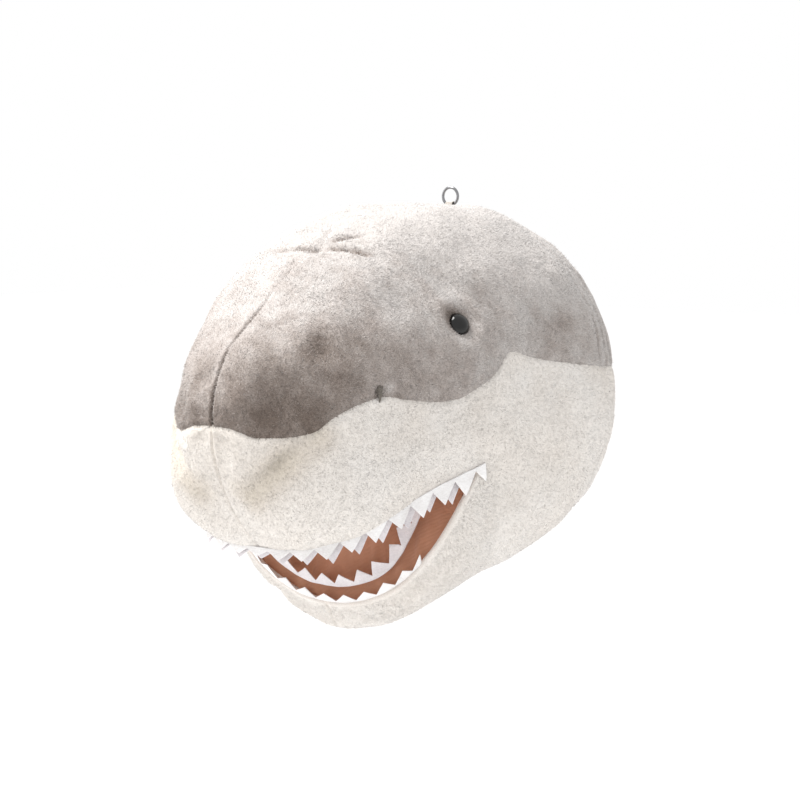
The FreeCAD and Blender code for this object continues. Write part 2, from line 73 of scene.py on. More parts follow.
def along(knots, x):
    """Smooth curve through the knots at x, with no overshoot between them."""
    xs = np.array([k[0] for k in knots], float)
    ys = np.array([k[1] for k in knots], float)
    step = np.diff(xs)
    rise = np.diff(ys) / step
    slope = np.empty(len(xs))
    slope[0], slope[-1] = rise[0], rise[-1]
    for i in range(1, len(xs) - 1):
        if rise[i - 1] * rise[i] <= 0:
            slope[i] = 0.0
        else:
            before = 2 * step[i] + step[i - 1]
            after = step[i] + 2 * step[i - 1]
            slope[i] = (before + after) / (before / rise[i - 1] + after / rise[i])
    x = np.asarray(x, float)
    i = np.clip(np.searchsorted(xs, x, side="right") - 1, 0, len(xs) - 2)
    t = (x - xs[i]) / step[i]
    return ((1 + 2 * t) * (1 - t) ** 2 * ys[i] + t * (1 - t) ** 2 * step[i] * slope[i]
            + t * t * (3 - 2 * t) * ys[i + 1] + t * t * (t - 1) * step[i] * slope[i + 1])


def station(y):
    """Station from 0 at the wall to 1 at the nose, for depth y."""
    return 2 / math.pi * np.arcsin(np.clip(-np.asarray(y, float) / DEPTH, -1, 1))


def depth_at(u):
    return -DEPTH * np.sin(np.asarray(u, float) * math.pi / 2)


def surface(u, angle):
    """Points of the head at stations u; angle 90 is the top, 0 the left side and -90 the bottom."""
    u, angle = np.broadcast_arrays(np.asarray(u, float), np.asarray(angle, float))
    cosine, sine = np.cos(np.radians(angle)), np.sin(np.radians(angle))
    upper = sine >= 0
    middle = along(WIDEST, u)
    power = 2 / np.where(upper, along(UPPER_POWER, u), along(LOWER_POWER, u))
    reach = np.where(upper, along(TOP, u) - middle, middle - along(BOTTOM, u))
    x = along(HALF_WIDTH, u) * np.sign(cosine) * np.abs(cosine) ** power
    z = middle + reach * np.sign(sine) * np.abs(sine) ** power
    return np.stack([x, depth_at(u), z], -1)


def unit(v):
    return v / np.maximum(np.linalg.norm(v, axis=-1, keepdims=True), 1e-9)


def surface_normal(u, angle):
    across = surface(u, angle + 1.0) - surface(u, angle - 1.0)
    forward = surface(np.minimum(u + 0.005, 1.0), angle) - surface(u - 0.005, angle)
    return unit(np.cross(across, forward))


def angle_of_height(u, z):
    """Angle on the left half where the head has height z at station u."""
    middle = along(WIDEST, u)
    high = z >= middle
    reach = np.where(high, along(TOP, u) - middle, middle - along(BOTTOM, u))
    power = np.where(high, along(UPPER_POWER, u), along(LOWER_POWER, u))
    share = np.clip(np.abs(z - middle) / np.maximum(reach, 1e-6), 0, 1)
    return np.where(high, 1, -1) * np.degrees(np.arcsin(share ** (power / 2)))


def seam_angle(u):
    return np.clip(angle_of_height(u, along(COLOUR_SEAM, depth_at(u))), -60, 60)


def seam_side(y):
    """How far the centre seam has wandered to the left (+x) at depth y, where the cross seam pulls it."""
    return 6.0 * bell(np.asarray(y, float) + 149.0, 19.0)


def top_angle(u, side):
    """Angle of the centre seam on top, seen from the left (1) or right (-1) half."""
    shift = side * seam_side(depth_at(u)) / np.maximum(along(HALF_WIDTH, u), 1.0)
    turn = np.degrees(np.arcsin(np.clip(np.abs(shift), 0, 1) ** (along(UPPER_POWER, u) / 2)))
    return 90.0 - np.sign(shift) * turn


def where_crossing(level, low, high):
    """Value between low and high (arrays) where the falling function level changes sign."""
    low, high = np.array(low, float), np.array(high, float)
    for _ in range(40):
        middle = (low + high) / 2
        positive = level(middle) > 0
        low = np.where(positive, middle, low)
        high = np.where(positive, high, middle)
    return (low + high) / 2


U_CORNER = float(station(CORNER_Y))


def behind_jaw(z):
    """Depth at height z of the slanted line where the jaw meets the throat."""
    return CORNER_Y - (z - CORNER_Z) * THROAT_SLOPE


U_THROAT = float(where_crossing(lambda u: depth_at(u) - behind_jaw(along(BOTTOM, u)), 0.1, 0.3))
U_LIP = float(where_crossing(lambda u: along(PALATE_LINE, depth_at(u)) - along(BOTTOM, u), 0.5, 0.7))


def lower_edge(u):
    """Angle of the head panel's lower edge: bottom seam, jaw line, upper lip, bottom seam again."""
    u = np.asarray(u, float)
    lip = angle_of_height(u, along(PALATE_LINE, depth_at(u)))
    height = CORNER_Z - (depth_at(u) - CORNER_Y) / THROAT_SLOPE
    throat = angle_of_height(u, height)
    edge = np.where((u > U_CORNER) & (u < U_LIP), lip, -90.0)
    return np.where((u > U_THROAT) & (u <= U_CORNER), throat, edge)


# --- small tools ---

def waves(p, length, seed, count=24):
    """Smooth random field of points p with features of about that length, mean 0 and spread 1."""
    random = np.random.default_rng(seed)
    ways = unit(random.normal(size=(count, 3)))
    ways *= 2 * math.pi / length * random.uniform(0.55, 1.5, (count, 1))
    phase = random.uniform(0, 2 * math.pi, count)
    return np.sin(p @ ways.T + phase).sum(-1) / math.sqrt(count / 2)


def smooth(x, low, high):
    t = np.clip((x - low) / (high - low), 0, 1)
    return t * t * (3 - 2 * t)


def bell(gap, width, power=2):
    """1 in the middle, falling to 0 on both sides over about that width."""
    return np.exp(-(gap / width) ** power)


def line_distance(p, line):
    """Distance of points p from a polyline, and how far along it (0 to 1) the nearest point is."""
    line = np.array(line, float)
    lengths = np.linalg.norm(np.diff(line, axis=0), axis=1)
    starts = np.concatenate([[0], np.cumsum(lengths)])
    best = np.full(p.shape[:-1], 1e9)
    place = np.zeros(p.shape[:-1])
    for a, b, start, length in zip(line, line[1:], starts, lengths):
        t = np.clip(((p - a) @ (b - a)) / length ** 2, 0, 1)
        gap = np.linalg.norm(p - a - t[..., None] * (b - a), axis=-1)
        closer = gap < best
        best = np.where(closer, gap, best)
        place = np.where(closer, (start + t * length) / starts[-1], place)
    return best, place


def distance(p, point):
    return np.linalg.norm(p - np.array(point), axis=-1)


def to_left(p):
    """Points p with those of the right half mirrored to the left half."""
    return np.abs(p) * np.array([1, 0, 0]) + p * np.array([0, 1, 1])


def crease(p, line, width, depth):
    """Groove along a line, deepest in its middle: negative, in mm."""
    gap, place = line_distance(p, line)
    taper = np.sin(np.clip(place, 0.02, 0.98) * math.pi) ** 0.5
    return -depth * taper * bell(gap, width)


def placed(name, data):
    """New object with this data, in the scene."""
    obj = bpy.data.objects.new(name, data)
    bpy.context.scene.collection.objects.link(obj)
    return obj


def mesh_object(name, points, faces, mats, index=None):
    """Object from points in mm and an array of faces with the same number of corners."""
    mesh = bpy.data.meshes.new(name)
    points = np.asarray(points, float).reshape(-1, 3)
    faces = np.asarray(faces, np.int32)
    mesh.vertices.add(len(points))
    mesh.vertices.foreach_set("co", (points * MM).astype(np.float32).ravel())
    mesh.loops.add(faces.size)
    mesh.loops.foreach_set("vertex_index", faces.ravel())
    mesh.polygons.add(len(faces))
    mesh.polygons.foreach_set("loop_start", np.arange(0, faces.size, faces.shape[1], dtype=np.int32))
    mesh.polygons.foreach_set("use_smooth", np.full(len(faces), True))
    for mat in mats:
        mesh.materials.append(mat)
    if index is not None:
        mesh.polygons.foreach_set("material_index", np.asarray(index, np.int32))
    mesh.update(calc_edges=True)
    return placed(name, mesh)


def grid_faces(rows, cols, start=0):
    i = np.arange(rows - 1)[:, None] * cols + np.arange(cols - 1)[None, :] + start
    return np.stack([i, i + 1, i + cols + 1, i + cols], -1).reshape(-1, 4)


def grid_normals(co):
    return unit(np.cross(np.gradient(co, axis=1), np.gradient(co, axis=0)))


def grid_object(name, co, outward, mats):
    """Mesh of a grid of points whose faces look the way of outward, one vector per point."""
    rows, cols = co.shape[:2]
    faces = grid_faces(rows, cols)
    if (grid_normals(co) * outward).sum() > 0:
        faces = faces[:, ::-1]
    return mesh_object(name, co, faces, mats)


# --- materials ---

def colour(r, g, b):
    """Linear colour from the usual 0 to 255 values."""
    shares = [value / 255.0 for value in (r, g, b)]
    return (*(v / 12.92 if v <= 0.04045 else ((v + 0.055) / 1.055) ** 2.4 for v in shares), 1.0)


class Shader:
    """A node material under construction."""

    def __init__(self, name, roughness=0.9, **sockets):
        self.mat = bpy.data.materials.new(name)
        self.mat.use_nodes = True
        self.bsdf = self.mat.node_tree.nodes["Principled BSDF"]
        self.feed(self.bsdf, Roughness=roughness, **sockets)
        self.place = self.node("ShaderNodeTexCoord").outputs["Object"]

    def join(self, value, socket):
        """Gives a socket a fixed value, or links it to another node's output."""
        if isinstance(value, (int, float, tuple)):
            socket.default_value = value
        else:
            self.mat.node_tree.links.new(value, socket)

    def feed(self, node, **inputs):
        for name, value in inputs.items():
            self.join(value, node.inputs[name.replace("_", " ")])

    def node(self, kind, **inputs):
        made = self.mat.node_tree.nodes.new(kind)
        self.feed(made, **inputs)
        return made

    def noise(self, scale, detail=3.0, rough=0.55, stretch=None):
        place = self.place
        if stretch:
            place = self.node("ShaderNodeMapping", Scale=stretch, Vector=place).outputs["Vector"]
        node = self.node("ShaderNodeTexNoise", Scale=scale, Detail=detail, Roughness=rough, Vector=place)
        return node.outputs["Fac"]

    def wave(self, scale, axis, distortion=0.6):
        node = self.node("ShaderNodeTexWave", Scale=scale, Distortion=distortion, Vector=self.place)
        node.bands_direction = axis
        return node.outputs["Fac"]

    def maths(self, operation, a, b):
        node = self.node("ShaderNodeMath")
        node.operation = operation
        self.join(a, node.inputs[0])
        self.join(b, node.inputs[1])
        return node.outputs[0]

    def attribute(self, name):
        node = self.node("ShaderNodeAttribute")
        node.attribute_name = name
        return node.outputs["Fac"]

    def ramp(self, factor, stops):
        node = self.node("ShaderNodeValToRGB", Fac=factor)
        ramp = node.color_ramp
        while len(ramp.elements) < len(stops):
            ramp.elements.new(0.5)
        for element, (position, value) in zip(ramp.elements, stops):
            element.position = position
            element.color = value
        return node.outputs["Color"]

    def multiply(self, a, b):
        """Product of two colours."""
        node = self.node("ShaderNodeMix")
        node.data_type, node.blend_type = "RGBA", "MULTIPLY"
        for value, socket in ((1.0, node.inputs["Factor"]), (a, node.inputs[6]), (b, node.inputs[7])):
            self.join(value, socket)
        return node.outputs[2]

    def finished(self, base, wear, low, high, height, distance, strength):
        """The material with this colour, roughness from low to high by wear, and bumps."""
        rough = self.node("ShaderNodeMapRange", To_Min=low, To_Max=high, Value=wear)
        bumps = self.node("ShaderNodeBump", Strength=strength, Distance=distance, Height=height)
        self.feed(self.bsdf, Base_Color=base, Roughness=rough.outputs["Result"],
                  Normal=bumps.outputs["Normal"])
        return self.mat


GREY_SHADES = [(120, 108, 100), (142, 131, 124), (162, 152, 146), (178, 169, 164), (190, 183, 179),
               (203, 198, 195)]
WHITE_SHADES = [(206, 197, 184), (219, 211, 202), (229, 223, 217), (235, 231, 227)]


def plush(name, shades, root_shadow):
    """Backing and roots of the pile: shade follows the painted attribute, broken up by brushing, and a
    painted shadow darkens the roots in a fine speckle.
    """
    s = Shader(name, 0.95, Sheen_Weight=0.25, Sheen_Roughness=0.5, Specular_IOR_Level=0.12)
    brushed = s.maths("MULTIPLY", s.maths("SUBTRACT", s.noise(60, 4, 0.6), 0.5), 0.2)
    grain = s.noise(1500, 2, 0.6)
    tone = s.maths("ADD", s.attribute("shade"), brushed)
    last = len(shades) - 1
    fur = s.ramp(tone, [(i / last, colour(*shade)) for i, shade in enumerate(shades)])
    # Painted shadow among the fibres' roots: the root colour darkens the fur in a fine speckle.
    shadow = s.ramp(grain, [(0.35, root_shadow), (0.65, (1, 1, 1, 1))])
    clumps = s.maths("ADD", grain, s.maths("MULTIPLY", s.noise(420, 3, 0.6), 0.8))
    return s.finished(s.multiply(fur, shadow), grain, 0.88, 1.0, clumps, 0.0006, 0.7)


def fibres(name, shade):
    """Tips of the pile, in one shade of the set."""
    s = Shader(name, 0.9, Sheen_Weight=0.3, Sheen_Roughness=0.5, Specular_IOR_Level=0.15)
    s.feed(s.bsdf, Base_Color=colour(*shade))
    return s.mat


def lining_fabric():
    s = Shader("mouth_fabric", 0.75, Sheen_Weight=0.3, Sheen_Roughness=0.4, Specular_IOR_Level=0.3)
    blotch = s.noise(38, 4, 0.55)
    weave = s.maths("ADD", s.wave(420, "X", 1.2), s.wave(420, "Z", 1.2))
    cloth = s.ramp(blotch, [(0.3, colour(180, 128, 100)), (0.55, colour(196, 142, 113)),
                            (0.8, colour(208, 154, 126))])
    threads = s.ramp(s.maths("MULTIPLY", weave, 0.5), [(0.2, (0.84, 0.82, 0.8, 1)), (0.8, (1, 1, 1, 1))])
    height = s.maths("ADD", weave, s.noise(900, 2))
    return s.finished(s.multiply(cloth, threads), blotch, 0.62, 0.85, height, 0.00025, 0.6)


def felt(name, pale, dark, scale=900):
    """Pressed felt: short matted fibres, slightly cloudy."""
    s = Shader(name, 0.95, Sheen_Weight=0.2, Sheen_Roughness=0.6, Specular_IOR_Level=0.15)
    cloud = s.noise(90, 3, 0.6)
    fibre = s.noise(scale, 4, 0.7, (1.0, 0.35, 1.6))
    body = s.ramp(s.maths("ADD", s.maths("MULTIPLY", fibre, 0.6), s.maths("MULTIPLY", cloud, 0.4)),
                  [(0.35, dark), (0.62, pale)])
    return s.finished(body, fibre, 0.85, 1.0, s.maths("ADD", fibre, s.noise(scale * 2.2, 2)), 0.0004, 0.6)


def metal(name, shade, low, high):
    s = Shader(name, 0.2, Metallic=1.0)
    rub = s.noise(700, 4, 0.65, (1, 1, 0.2))
    worn = s.ramp(rub, [(0.3, shade), (0.7, tuple(min(1, c * 1.18) for c in shade[:3]) + (1,))])
    return s.finished(worn, rub, low, high, rub, 0.00004, 0.35)


def eye_plastic():
    s = Shader("eye_plastic", 0.12, Specular_IOR_Level=0.35, Coat_Weight=0.15, Coat_Roughness=0.04)
    speck = s.noise(500, 3, 0.6)
    black = s.ramp(speck, [(0.3, colour(8, 8, 7)), (0.7, colour(16, 15, 14))])
    return s.finished(black, speck, 0.07, 0.16, s.noise(260, 2), 0.00003, 0.4)


def tape_weave():
    s = Shader("tape", 0.8, Sheen_Weight=0.2, Specular_IOR_Level=0.25)
    rib = s.wave(300, "Z", 0.4)
    cross = s.wave(520, "X", 0.4)
    weave = s.maths("ADD", rib, s.maths("MULTIPLY", cross, 0.6))
    grey = s.ramp(weave, [(0.2, colour(120, 112, 105)), (0.9, colour(196, 190, 182))])
    return s.finished(grey, weave, 0.7, 0.9, weave, 0.0002, 0.7)


def fibreboard():
    s = Shader("board", 0.85, Specular_IOR_Level=0.2)
    chips = s.noise(330, 5, 0.75)
    brown = s.ramp(chips, [(0.3, colour(128, 98, 68)), (0.7, colour(176, 144, 108))])
    return s.finished(brown, chips, 0.75, 0.95, chips, 0.0002, 0.5)


def thread():
    s = Shader("grey_thread", 0.85, Sheen_Weight=0.3, Specular_IOR_Level=0.25)
    ply = s.wave(650, "DIAGONAL", 1.0)
    grey = s.ramp(ply, [(0.1, colour(88, 82, 76)), (0.9, colour(128, 121, 113))])
    return s.finished(grey, ply, 0.75, 0.95, ply, 0.00015, 0.6)


# The last colour of each plush is the painted shadow among the roots of its pile.
GREY = plush("grey_plush", GREY_SHADES, (0.62, 0.60, 0.58, 1))
WHITE = plush("white_plush", WHITE_SHADES, (0.86, 0.85, 0.83, 1))
GREY_PILE = [fibres("grey_pile_%d" % i, shade) for i, shade in enumerate(GREY_SHADES)]
WHITE_PILE = [fibres("white_pile_%d" % i, shade) for i, shade in enumerate(WHITE_SHADES)]
MOUTH = lining_fabric()
TOOTH = felt("tooth_felt", colour(243, 242, 242), colour(222, 219, 218))
# Darker copy of the tooth felt for the inner rows: painted shade inside the mouth.
TOOTH_SHADED = felt("tooth_felt_shaded", colour(226, 222, 224), colour(204, 199, 202))
BACK_FELT = felt("felt_grey", colour(150, 146, 142), colour(112, 108, 104), 700)
STEEL = metal("steel_wire", colour(176, 176, 178), 0.25, 0.45)
CHROME = metal("ring_metal", colour(138, 138, 140), 0.12, 0.3)
THREAD = thread()

# --- relief of the stuffed skin ---

EYE_DEPTH, EYE_ANGLE = -122.0, 30.5
EYE = surface(float(station(EYE_DEPTH)), EYE_ANGLE)
NOSTRIL_U, NOSTRIL_ANGLE = 0.527, 21.0
NOSTRIL = surface(NOSTRIL_U, NOSTRIL_ANGLE)
# The cross seam on top: its knot, the three sewn darts that leave it, and the small folds between them.
DART_MIDDLE = (6, -150, 91)
DARTS = [[(7, -150, 91), (-6, -150, 90.5), (-24, -147, 88)],
         [(11, -142, 95), (18, -137, 97), (27, -130, 99)],
         [(13, -148, 91.5), (26, -145, 90), (41, -142, 86)]]
PUCKERS = [[(0, -147, 93), (-12, -138, 97)], [(3, -158, 86), (-3, -168, 80)],
           [(-4, -154, 88), (-18, -158, 84)], [(14, -154, 87.5), (27, -155, 83)],
           [(16, -143, 94), (34, -136, 93)], [(5, -140, 97), (0, -128, 102)]]
SNOUT_CREASE = [(46, -212, -4), (33, -226, -20), (14, -228, -35)]
CHIN_CREASE = [(13, -135, -129), (46, -124, -118), (55, -98, -109)]
# Shallow dents of the left half: middle, radius and depth.
DENTS = [((108.7, -51, 47), 10.0, 2.4), ((41, -196.5, 38.6), 7.0, 1.6), ((58, -180, 48), 9.0, 1.0),
         ((88, -100, 66), 14.0, 1.2), ((30, -222, 8), 9.0, 1.0)]


RIM_LINES = [(-4.5, 1.0), (-10.0, 0.85), (-17.5, 0.7)]      # place in front of the wall, and strength


def rim_lines(p):
    """1 in the drawn-in lines beside the wall, where the skin is pulled over the board's edge."""
    x, y, z = p[..., 0], p[..., 1], p[..., 2]
    band = smooth(z, 14, 34) * (1 - smooth(z, 96, 110)) * smooth(np.abs(x), 30, 50)
    total = np.zeros(x.shape)
    for line, part in RIM_LINES:
        drift = line * (1 + 0.35 * smooth(z, 30, 95)) + 0.7 * np.sin(z / 9.0 + line)
        total = total + part * band * bell(y - drift, 1.2)
    return total


def relief(p, seam_gap, side):
    """How far the filled skin stands out of the plain shape at points p, in mm."""
    x, y, z = p[..., 0], p[..., 1], p[..., 2]
    mirrored = p * np.array([side, 1, 1])
    near_seam = np.exp(-seam_gap / 10)
    out = 0.85 * waves(p, 95, 3) + 0.42 * waves(p, 38, 5) * (1 - 0.6 * near_seam)
    out += 0.12 * waves(p, 15, 7)
    out = out - 0.8 * bell(seam_gap, 2.0) + 0.9 * (1 - near_seam)
    wander = np.where(z > 0, seam_side(y), 0.0)
    middle = bell(x - wander, 1.2)
    depth = np.where(z > 0, 0.4 + 2.0 * smooth(-y, 180, 205), 0.7)
    out -= depth * middle
    out -= 0.8 * bell(x, 9) * smooth(-y, 120, 220)
    eye = distance(mirrored, EYE)
    out = out - 3.4 * bell(eye, 8.0) + 1.5 * bell(eye - 14, 5.0)
    nostril = distance(mirrored, NOSTRIL)
    out = out - 2.2 * bell(nostril, 3.8) + 0.9 * bell(nostril - 8, 3.0)
    for centre, radius, deep in DENTS:
        gap = distance(mirrored, centre)
        out -= deep * (1.0 if side > 0 else 0.8) * bell(gap, radius)
    out = out + crease(mirrored, SNOUT_CREASE, 5.0, 4.4) + crease(mirrored, CHIN_CREASE, 3.6, 2.4)
    for line in DARTS:
        out += crease(p, line, 2.0, 4.0)
    knot = distance(p, DART_MIDDLE)
    out -= 2.6 * bell(knot, 6.0)
    out += 0.6 * bell(knot - 15, 9)
    for line in PUCKERS:
        out += crease(p, line, 1.8, 1.3)
    out -= 2.4 * rim_lines(p)
    out -= 2.2 * bell(x, 7.5, 4) * bell(y + 1, 6.0) * (z > 60)
    return out


def shade_of(p, seam_gap):
    """Tone of the grey pile from 0, dark, to 1, light: darker low down by the colour seam, partly its own
    colour and partly painted shade, lighter at the top as painted light from above, with painted shade in the
    hollows and a painted highlight by the nostril.
    """
    x, y, z = p[..., 0], p[..., 1], p[..., 2]
    rear = 1 - smooth(-y, 95, 190)
    # Darker near the colour seam, part the pile's own colour and part painted shade; lighter towards the
    # rear; lighter at the top, painted light from above.
    tone = 0.31 + 0.54 * rear + (0.56 - 0.36 * rear) * smooth(seam_gap, 0, 75) + 0.18 * smooth(z, 62, 108)
    tone = tone + 0.06 * waves(p, 46, 21) + 0.05 * waves(p, 17, 22) + 0.04 * waves(p, 8, 23)
    # Darker towards the nose, and painted shade in the groove of the centre seam.
    tone = tone - 0.12 * smooth(-y, 170, 215) - 0.55 * bell(x - seam_side(y), 1.0) * (
        0.22 + 0.78 * smooth(-y, 180, 205))
    # Painted shade in the sewn darts and the small folds.
    for line in DARTS:
        tone = tone + 1.5 * crease(p, line, 1.4, 1.0)
    for line in PUCKERS:
        tone = tone + 0.2 * crease(p, line, 1.6, 1.0)
    # Painted shade in the rim lines, and painted light on the rim beside the wall.
    tone = tone - 0.42 * rim_lines(p) + 0.2 * smooth(y, -32, -12)
    mirrored = to_left(p)
    # Painted shade in the dents, deeper dents darker.
    for centre, radius, deep in DENTS:
        gap = distance(mirrored, centre)
        tone = tone - 0.17 * deep * bell(gap, radius * 1.1)
    # Painted shadow in the eye socket and under the brow, above and before the eye.
    eye = distance(mirrored - EYE, (0.0, -2.0, 2.5))
    # Painted highlight on the pucker beside the nostril.
    nostril_highlight = distance(mirrored - NOSTRIL, (3.5, 5.0, 1.5))
    tone = tone + 0.35 * bell(nostril_highlight, 4.0)
    brow_shadow = distance(mirrored - EYE, (-5.0, -6.0, 6.5))
    return tone - 0.75 * bell(eye, 7.5, 4) - 0.5 * bell(brow_shadow, 6.0)


def white_tone(p):
    """Tone of the white pile from 0, dark, to 1, light: painted shade beside the crease of the snout and
    along the centre seam, and darker towards the nose tip.
    """
    tone = 0.8 + 0.06 * waves(p, 60, 31) + 0.03 * waves(p, 20, 32)
    mirrored = to_left(p)
    # Painted shade beside the crease of the snout, a little behind it.
    gap, _ = line_distance(mirrored, np.array(SNOUT_CREASE) + np.array([5.0, 4.0, -2.0]))
    # Painted shade along the centre seam.
    tone = tone - 0.2 * bell(p[..., 0], 1.3)
    return tone - 0.6 * bell(gap, 10.0) - 0.12 * smooth(-p[..., 1], 185, 230)


# --- plush panels ---

HEM_RADIUS = 96.5           # inner edge of the hem behind the board
RIM_RADIUS = 4.0            # rounding of the plush over the board's edge
BACK_GAP = 0.15             # between the hem and the wall
LIP_ROLL = 2.2              # radius of the plush where it turns into the mouth
SEAM_ROLL = 0.4             # radius of the plush where it turns into a seam
FLAT_ROLL = 0.15            # the same at the line behind the jaw
HEM_ROWS, RIM_ROWS = 12, 7
RIM_PITCH = 0.9             # mm between rows beside the rim
ROW_PITCH = 0.0065          # stations between rows further on
ROW_MARGIN = 0.0022         # rows nearer than this to a corner of the outline are left out
PANEL_COLUMNS = 96
JAW_ROWS, JAW_COLUMNS = 84, 56


def panel_rows():
    """Rows of a head panel: (kind, value) with hem shares, rim angles, then stations to the nose."""
    rows = [("hem", share) for share in np.linspace(0, 0.93, HEM_ROWS)]
    rows += [("rim", phi) for phi in np.linspace(0, 84, RIM_ROWS)]
    stations = list(station(-np.arange(RIM_RADIUS, 28.0, RIM_PITCH)))
    stations += list(np.arange(stations[-1] + ROW_PITCH, 0.990, ROW_PITCH))
    stations += [0.994, 0.998]
    stations = [u for u in stations if min(abs(u - e) for e in (U_THROAT, U_CORNER, U_LIP)) > ROW_MARGIN]
    stations += [U_THROAT - 1e-6, U_CORNER, U_LIP]
    return rows + [("side", u) for u in sorted(stations)]


ROWS = panel_rows()


def row_points(kind, value, angle):
    """Points, outward normals and relief strength of one row at these angles."""
    if kind == "side":
        return surface(value, angle), surface_normal(value, angle), np.ones(len(angle))
    back = np.array([0.0, 1.0, 0.0])
    if kind == "rim":
        phi = math.radians(value)
        y = -RIM_RADIUS * (1 - math.cos(phi))
        edge = surface(float(station(y)), angle)
        out = unit(edge * np.array([1, 0, 1]))
        points = edge - out * RIM_RADIUS * (1 - math.sin(phi))
        normals = unit(out * math.sin(phi) + back * math.cos(phi))
        return points - back * BACK_GAP, normals, np.full(len(angle), math.sin(phi) ** 2)
    edge = surface(0.0, angle)
    out = unit(edge * np.array([1, 0, 1]))
    outline = edge - out * RIM_RADIUS
    inner = out * HEM_RADIUS
    points = inner + (outline - inner) * value
    turn = np.arctan2(out[:, 0], out[:, 2])
    fold = np.sin(turn * 41 + 2.0 * np.sin(turn * 7) + 1.2 * np.sin(turn * 3 + 1)) ** 2
    pleat = (0.2 + 1.3 * fold ** 3) * math.sin(math.pi * min(value + 0.25, 1.0)) ** 0.5
    under_tape = 1.6 * bell(points[:, 0], 3.6, 6) * (points[:, 2] > 0)
    points[:, 1] = -BACK_GAP - pleat - under_tape
    return points, np.tile(back, (len(angle), 1)), np.zeros(len(angle))


def rolled(co, no, radius, steps=6):
    """Columns that turn the grid's last column inwards round a roll of that radius (one per row)."""
    edge, before = co[:, -1], co[:, -2]
    normal = no[:, -1]
    ahead = edge - before
    ahead = unit(ahead - (ahead * normal).sum(-1, keepdims=True) * normal)
    radius = np.asarray(radius, float)[:, None]
    centre = edge - radius * normal
    made = []
    for i in range(1, steps + 1):
        turn = math.pi * i / steps
        made.append(centre + radius * (math.cos(turn) * normal + math.sin(turn) * ahead))
    return np.stack(made, 1)


def arc_gap(co, column):
    """Distance of every grid point from its row's point in that column, along the row."""
    steps = np.linalg.norm(np.diff(co, axis=1), axis=-1)
    total = np.concatenate([np.zeros((len(co), 1)), np.cumsum(steps, axis=1)], 1)
    return np.abs(total - total[:, column:column + 1])


CLOTH_ROWS, CLOTH_COLUMNS = 60, 96
CLOTH_FIRST, CLOTH_LAST = 0.02, 0.98
CLOTH_FRAMES = 20
SEWN_MIDDLE, SEWN_SEAM, SEWN_EYE = 2.6, 4.0, 6.5      # mm from the middle, colour seam and eye
SWELL_LEAST, SWELL_MOST = -1.0, 4.0
UNSEWN_DROP = 1.0           # mm that the swelling between the seams is set back


